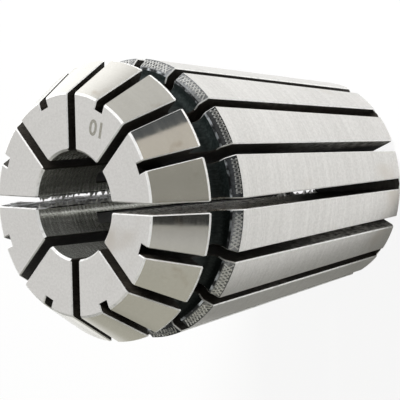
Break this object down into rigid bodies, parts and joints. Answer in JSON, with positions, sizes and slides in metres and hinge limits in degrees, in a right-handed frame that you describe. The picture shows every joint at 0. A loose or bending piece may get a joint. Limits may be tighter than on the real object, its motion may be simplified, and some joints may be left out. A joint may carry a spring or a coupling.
{
  "type": "er collet",
  "caption": "Slit spring collet with a long 8 degree taper, extraction groove and 30 degree nose cone; clamps a 9 to 10 mm round shank in a tool holder.",
  "frame": {"origin": "centre of the small rear face, on the collet's axis", "axes": "+Z along the axis from the small rear end to the nose; the collet stands on its rear face. +X through the middle of one of the eight slits that open at the nose"},
  "size_m": [0.026, 0.026, 0.034],
  "materials": {
    "ground_steel": "hardened spring steel: bright ground face, nose cone and long taper; dark as-hardened slits and groove; honed grey bore"
  },
  "bodies": {
    "root": {"collet": "ground_steel"}
  },
  "joints": []
}
